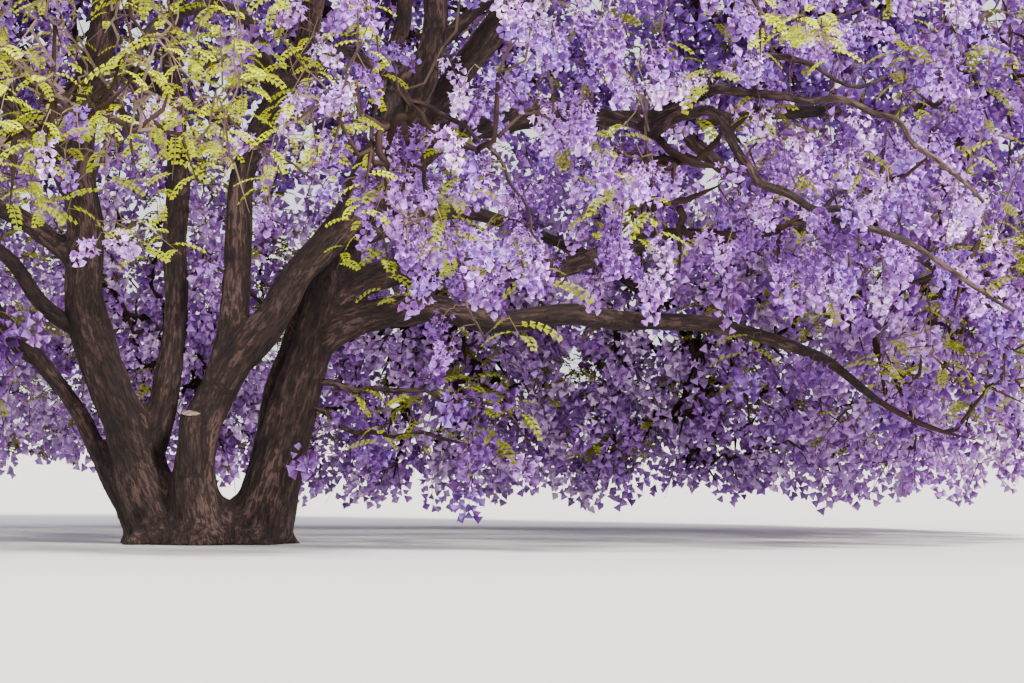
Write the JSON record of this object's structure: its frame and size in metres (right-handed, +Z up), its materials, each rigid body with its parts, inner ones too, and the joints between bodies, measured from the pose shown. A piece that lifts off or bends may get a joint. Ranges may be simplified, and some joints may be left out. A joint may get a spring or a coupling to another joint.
{
  "type": "jacaranda tree",
  "caption": "Mature multi-stemmed jacaranda in full violet blossom, with long spreading boughs and a weeping skirt, fixed in level ground.",
  "frame": {"origin": "centre of the flat cut at ground level under the trunk's root flare", "axes": "+Z up, +X to the right as the picture sees the tree, +Y away from that viewer"},
  "size_m": [14.0414, 12.0582, 9.169],
  "materials": {
    "bark": "rough fissured bark, grey-brown, paler where the sun falls",
    "blossom": "soft violet petals with a few yellow-green leaves"
  },
  "bodies": {
    "root": {"back_stem": "bark", "centre_stem": "bark", "far_left_stem": "bark", "foliage_back_stem": "blossom", "foliage_centre_stem": "blossom", "foliage_far_left_stem": "blossom", "foliage_forward_stem": "blossom", "foliage_high_left_bough": "blossom", "foliage_high_right_bough": "blossom", "foliage_left_stem": "blossom", "foliage_low_left_bough": "blossom", "foliage_low_right_bough": "blossom", "foliage_mid_left_bough": "blossom", "foliage_mid_right_bough": "blossom", "foliage_middle_away_bough_1": "blossom", "foliage_middle_away_bough_2": "blossom", "foliage_middle_away_bough_3": "blossom", "foliage_middle_near_bough_1": "blossom", "foliage_middle_near_bough_2": "blossom", "foliage_middle_near_bough_3": "blossom", "foliage_right_stem": "blossom", "foliage_skirt_away_bough_1": "blossom", "foliage_skirt_away_bough_2": "blossom", "foliage_skirt_away_bough_3": "blossom", "foliage_skirt_away_bough_4": "blossom", "foliage_skirt_near_bough_1": "blossom", "foliage_skirt_near_bough_2": "blossom", "foliage_skirt_near_bough_3": "blossom", "foliage_skirt_near_bough_4": "blossom", "foliage_upright_stem": "blossom", "foliage_weeping_right_bough": "blossom", "forward_stem": "bark", "high_left_bough": "bark", "high_right_bough": "bark", "left_stem": "bark", "low_left_bough": "bark", "low_right_bough": "bark", "mid_left_bough": "bark", "mid_right_bough": "bark", "middle_away_bough_1": "bark", "middle_away_bough_2": "bark", "middle_away_bough_3": "bark", "middle_near_bough_1": "bark", "middle_near_bough_2": "bark", "middle_near_bough_3": "bark", "right_stem": "bark", "skirt_away_bough_1": "bark", "skirt_away_bough_2": "bark", "skirt_away_bough_3": "bark", "skirt_away_bough_4": "bark", "skirt_near_bough_1": "bark", "skirt_near_bough_2": "bark", "skirt_near_bough_3": "bark", "skirt_near_bough_4": "bark", "trunk_flare": "bark", "upright_stem": "bark", "weeping_right_bough": "bark"}
  },
  "joints": []
}
